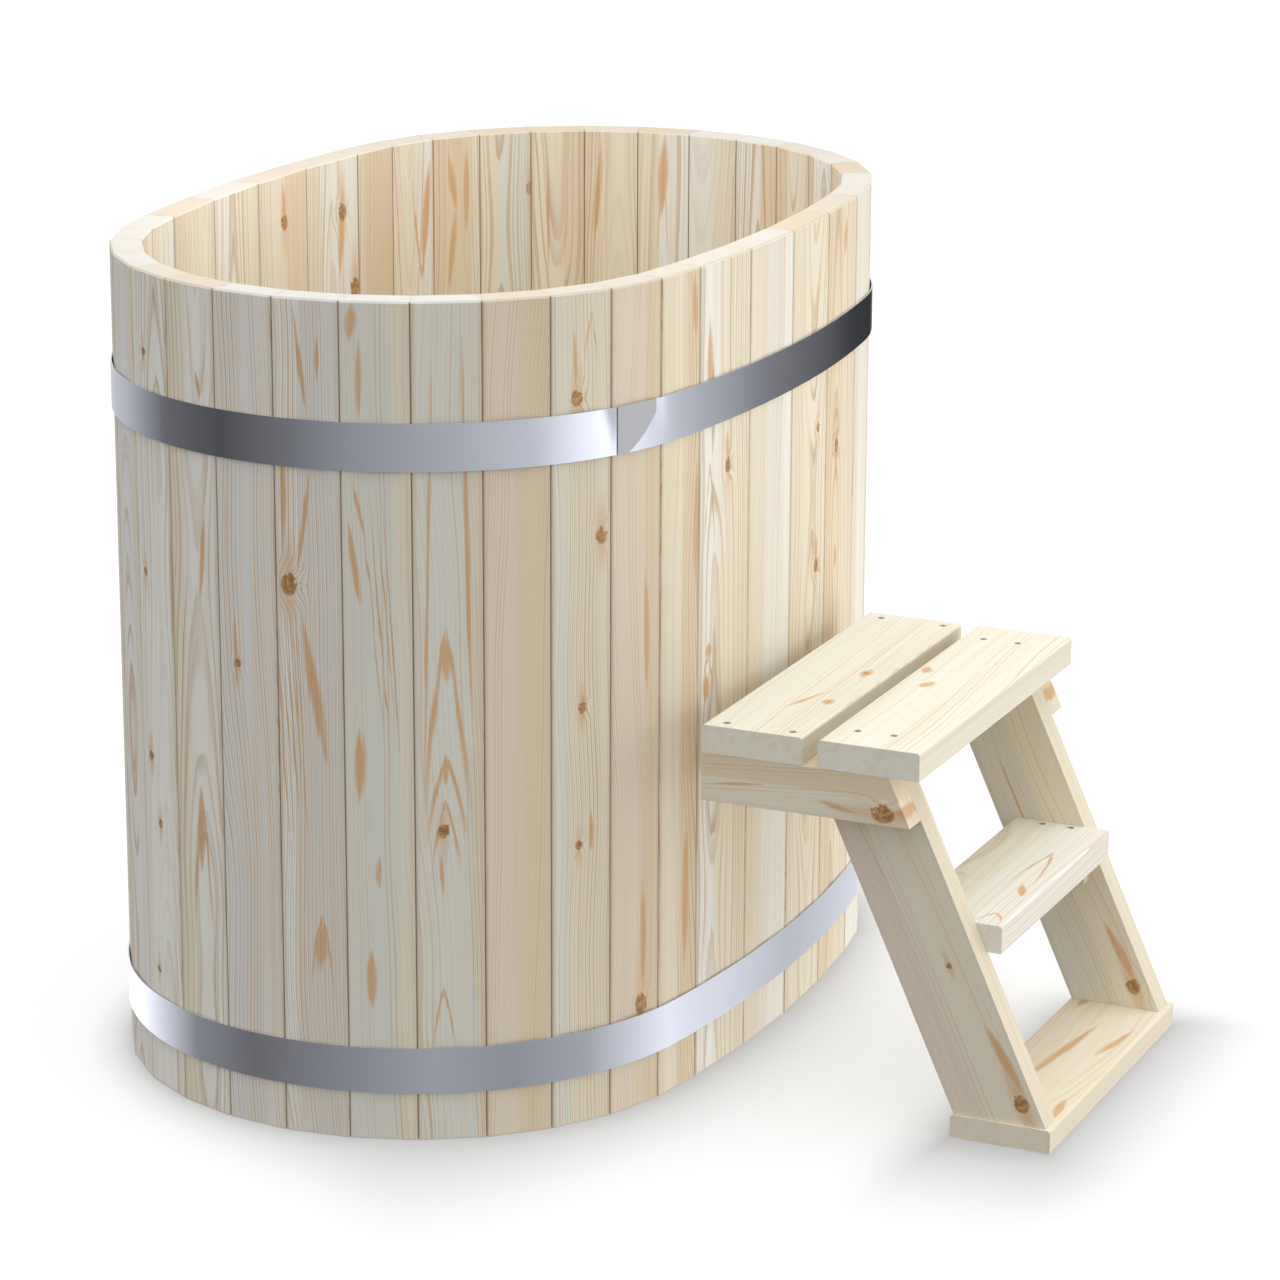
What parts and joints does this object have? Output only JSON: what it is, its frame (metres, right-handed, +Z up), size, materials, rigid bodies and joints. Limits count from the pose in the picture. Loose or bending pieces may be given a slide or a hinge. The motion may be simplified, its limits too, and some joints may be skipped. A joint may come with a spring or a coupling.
{
  "type": "oval wooden plunge tub with step",
  "caption": "Oval coopered tub of upright flat-faced wooden staves held by steel band hoops, with a plank floor, a plugged drain and a sloping timber step on one long side.",
  "frame": {"origin": "middle of the oval, on the floor the tub stands on", "axes": "+X along the oval, -Y towards the step, +Z up"},
  "size_m": [1.2036, 1.2284, 1],
  "materials": {
    "stave_wood": "planed, untreated softwood",
    "floor_wood": "planed, untreated softwood",
    "step_wood": "planed, untreated softwood",
    "hoop_steel": "smooth stainless strip",
    "drain_steel": "satin",
    "screw_steel": "zinc plated",
    "rubber": "matt"
  },
  "bodies": {
    "tub": {"stave_01": "stave_wood", "stave_02": "stave_wood", "stave_03": "stave_wood", "stave_04": "stave_wood", "stave_05": "stave_wood", "stave_06": "stave_wood", "stave_07": "stave_wood", "stave_08": "stave_wood", "stave_09": "stave_wood", "stave_10": "stave_wood", "stave_11": "stave_wood", "stave_12": "stave_wood", "stave_13": "stave_wood", "stave_14": "stave_wood", "stave_15": "stave_wood", "stave_16": "stave_wood", "stave_17": "stave_wood", "stave_18": "stave_wood", "stave_19": "stave_wood", "stave_20": "stave_wood", "stave_21": "stave_wood", "stave_22": "stave_wood", "stave_23": "stave_wood", "stave_24": "stave_wood", "stave_25": "stave_wood", "stave_26": "stave_wood", "stave_27": "stave_wood", "stave_28": "stave_wood", "stave_29": "stave_wood", "stave_30": "stave_wood", "stave_31": "stave_wood", "stave_32": "stave_wood", "stave_33": "stave_wood", "stave_34": "stave_wood", "stave_35": "stave_wood", "stave_36": "stave_wood", "upper_hoop": "hoop_steel", "lower_hoop": "hoop_steel", "floor_board_1": "floor_wood", "floor_board_2": "floor_wood", "floor_board_3": "floor_wood", "floor_board_4": "floor_wood", "floor_board_5": "floor_wood", "floor_bearers": "floor_wood", "drain_flange": "drain_steel", "drain_gasket": "rubber", "drain_nut": "drain_steel", "platform_board_inner": "step_wood", "platform_board_outer": "step_wood", "rail_near": "step_wood", "rail_far": "step_wood", "stringer_near": "step_wood", "stringer_far": "step_wood", "middle_tread": "step_wood", "tread_cleats": "step_wood", "base_board": "step_wood", "wall_ledger": "step_wood", "step_screws": "screw_steel"},
    "plug": {"drain_plug": "rubber"}
  },
  "joints": [
    {"name": "drain_plug_lift", "type": "slide", "parent": "tub", "child": "plug", "axis": [0, 0, 1], "range_m": [0, 0.95]}
  ]
}
